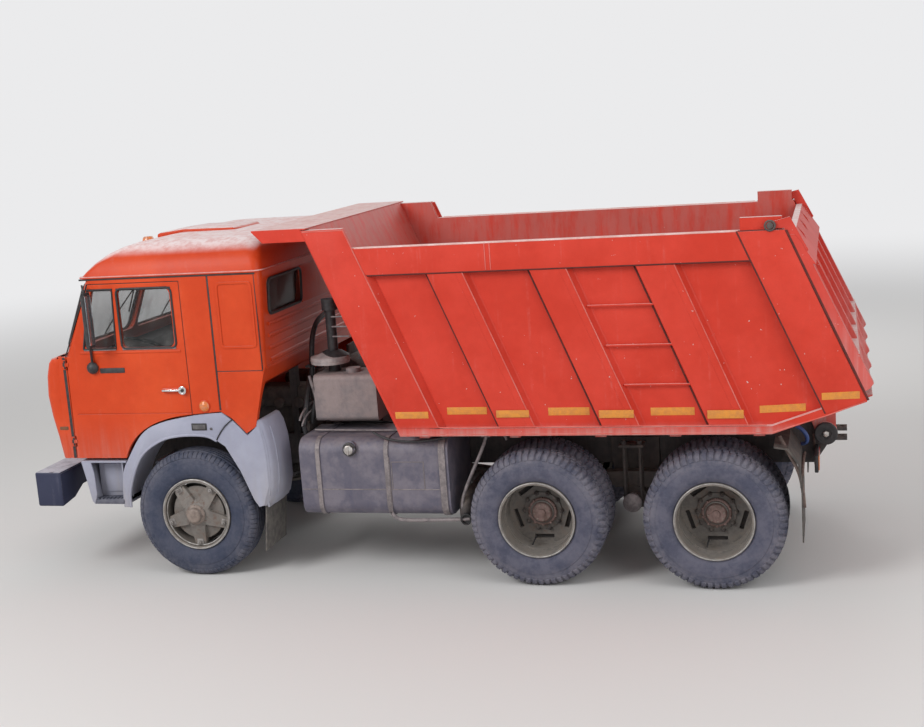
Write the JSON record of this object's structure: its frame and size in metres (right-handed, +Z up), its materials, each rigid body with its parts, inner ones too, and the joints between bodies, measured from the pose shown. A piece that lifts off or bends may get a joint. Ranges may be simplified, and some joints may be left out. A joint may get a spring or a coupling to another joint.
{
  "type": "dump truck",
  "caption": "Cab-over rear tipper with a ribbed steel bed, top-hung tailgate, cab visor and underbody hoist.",
  "frame": {"origin": "on the road under the middle of the truck's bounding box", "axes": "+X forward, +Y to the truck's left, +Z up"},
  "size_m": [6.689, 2.75, 2.805],
  "materials": {
    "cab_paint": "gloss paint, dusty",
    "bed_paint": "satin paint, dusty",
    "grey_paint": "satin paint, dusty",
    "chassis_paint": "satin black paint, dusty",
    "tank_paint": "satin dark paint, dusty",
    "rim_paint": "pale grey paint, dusty",
    "casting": "cast, oily and dusty",
    "bright_steel": "ground steel",
    "tyre": "worn rubber, dusty",
    "clear_glass": "clear glass",
    "trim": "moulded plastic",
    "seat_cloth": "woven cover",
    "lamp_lens": "clear lens"
  },
  "bodies": {
    "chassis": {"frame_rail_left": "chassis_paint", "frame_rail_right": "chassis_paint", "cross_members": "chassis_paint", "cab_supports": "chassis_paint", "tipper_subframe": "chassis_paint", "front_axle_beam": "casting", "leaf_springs": "chassis_paint", "bogie": "casting", "drive_axle_middle": "casting", "drive_axle_rear": "casting", "driveline": "casting", "engine": "casting", "fuel_tank": "tank_paint", "hydraulic_tank": "tank_paint", "air_intake": "trim", "exhaust": "casting", "air_reservoirs": "chassis_paint", "bumper": "trim", "headlamps": "lamp_lens", "rear_mudguards": "trim", "tow_coupling": "casting", "cab_shell": "cab_paint", "nose_panel": "cab_paint", "cab_roof": "cab_paint", "cab_glass": "clear_glass", "front_fenders": "grey_paint", "seats": "seat_cloth", "dashboard": "trim", "steering_wheel": "trim"},
    "door_left": {"door_left": "cab_paint", "door_glass_left": "clear_glass", "mirror_left": "trim"},
    "door_right": {"door_right": "cab_paint", "door_glass_right": "clear_glass", "mirror_right": "trim"},
    "knuckle_left": {"knuckle_left": "casting"},
    "knuckle_right": {"knuckle_right": "casting"},
    "tie_rod": {"tie_rod": "bright_steel"},
    "bed": {"bed_floor": "bed_paint", "bed_side_left": "bed_paint", "bed_side_right": "bed_paint", "bed_front": "bed_paint", "bed_visor": "bed_paint"},
    "tailgate": {"tailgate": "bed_paint"},
    "hoist_barrel": {"hoist_barrel": "chassis_paint"},
    "hoist_stage_1": {"hoist_stage_1": "bright_steel"},
    "hoist_stage_2": {"hoist_stage_2": "bright_steel"},
    "hoist_stage_3": {"hoist_stage_3": "bright_steel"},
    "wheel_front_left": {"tyre_front_left": "tyre", "rim_front_left": "rim_paint"},
    "wheel_front_right": {"tyre_front_right": "tyre", "rim_front_right": "rim_paint"},
    "wheel_middle_left": {"tyre_middle_left": "tyre", "rim_middle_left": "rim_paint"},
    "wheel_middle_right": {"tyre_middle_right": "tyre", "rim_middle_right": "rim_paint"},
    "wheel_rear_left": {"tyre_rear_left": "tyre", "rim_rear_left": "rim_paint"},
    "wheel_rear_right": {"tyre_rear_right": "tyre", "rim_rear_right": "rim_paint"}
  },
  "joints": [
    {"name": "steer_left", "type": "hinge", "parent": "chassis", "child": "knuckle_left", "pos_m": [1.9445, 0.88, 0.525], "axis": [0, 0, 1], "range_deg": [-35, 35]},
    {"name": "wheel_front_left_spin", "type": "hinge", "parent": "knuckle_left", "child": "wheel_front_left", "pos_m": [1.9445, 1.013, 0.525], "axis": [0, 1, 0], "continuous": true},
    {"name": "door_left_swing", "type": "hinge", "parent": "chassis", "child": "door_left", "pos_m": [2.9445, 1.17, 1.5], "axis": [0, 0, -1], "range_deg": [0, 70]},
    {"name": "wheel_middle_left_spin", "type": "hinge", "parent": "chassis", "child": "wheel_middle_left", "pos_m": [-0.8955, 0.928, 0.525], "axis": [0, 1, 0], "continuous": true},
    {"name": "wheel_rear_left_spin", "type": "hinge", "parent": "chassis", "child": "wheel_rear_left", "pos_m": [-2.2155, 0.928, 0.525], "axis": [0, 1, 0], "continuous": true},
    {"name": "steer_right", "type": "hinge", "parent": "chassis", "child": "knuckle_right", "pos_m": [1.9445, -0.88, 0.525], "axis": [0, 0, 1], "range_deg": [-35, 35]},
    {"name": "wheel_front_right_spin", "type": "hinge", "parent": "knuckle_right", "child": "wheel_front_right", "pos_m": [1.9445, -1.013, 0.525], "axis": [0, 1, 0], "continuous": true},
    {"name": "door_right_swing", "type": "hinge", "parent": "chassis", "child": "door_right", "pos_m": [2.9445, -1.17, 1.5], "axis": [0, 0, 1], "range_deg": [0, 70]},
    {"name": "wheel_middle_right_spin", "type": "hinge", "parent": "chassis", "child": "wheel_middle_right", "pos_m": [-0.8955, -0.928, 0.525], "axis": [0, 1, 0], "continuous": true},
    {"name": "wheel_rear_right_spin", "type": "hinge", "parent": "chassis", "child": "wheel_rear_right", "pos_m": [-2.2155, -0.928, 0.525], "axis": [0, 1, 0], "continuous": true},
    {"name": "tie_rod_swing", "type": "hinge", "parent": "knuckle_left", "child": "tie_rod", "pos_m": [1.7345, 0.88, 0.485], "axis": [0, 0, 1], "range_deg": [-35, 35]},
    {"name": "bed_tip", "type": "hinge", "parent": "chassis", "child": "bed", "pos_m": [-3.0105, 0, 1.022], "axis": [0, -1, 0], "range_deg": [0, 60]},
    {"name": "tailgate_swing", "type": "hinge", "parent": "bed", "child": "tailgate", "pos_m": [-2.6765, 0, 2.668], "axis": [0, 1, 0], "range_deg": [0, 60]},
    {"name": "hoist_tilt", "type": "hinge", "parent": "chassis", "child": "hoist_barrel", "pos_m": [-1.6555, 0, 0.82], "axis": [0, -1, 0], "range_deg": [0, 79.2]},
    {"name": "hoist_slide_1", "type": "slide", "parent": "hoist_barrel", "child": "hoist_stage_1", "axis": [0.9524, 0, 0.3048], "range_m": [0, 0.42259]},
    {"name": "hoist_slide_2", "type": "slide", "parent": "hoist_stage_1", "child": "hoist_stage_2", "axis": [0.9524, 0, 0.3048], "range_m": [0, 0.42259]},
    {"name": "hoist_slide_3", "type": "slide", "parent": "hoist_stage_2", "child": "hoist_stage_3", "axis": [0.9524, 0, 0.3048], "range_m": [0, 0.42259]}
  ],
  "couplings": [
    {"joint": "steer_right", "follows": "steer_left", "ratio": 1},
    {"joint": "tie_rod_swing", "follows": "steer_left", "ratio": -1},
    {"joint": "hoist_tilt", "follows": "bed_tip", "ratio": 1.3198},
    {"joint": "hoist_slide_1", "follows": "bed_tip", "m_per_rad": 0.40345},
    {"joint": "hoist_slide_2", "follows": "bed_tip", "m_per_rad": 0.40345},
    {"joint": "hoist_slide_3", "follows": "bed_tip", "m_per_rad": 0.40345}
  ]
}
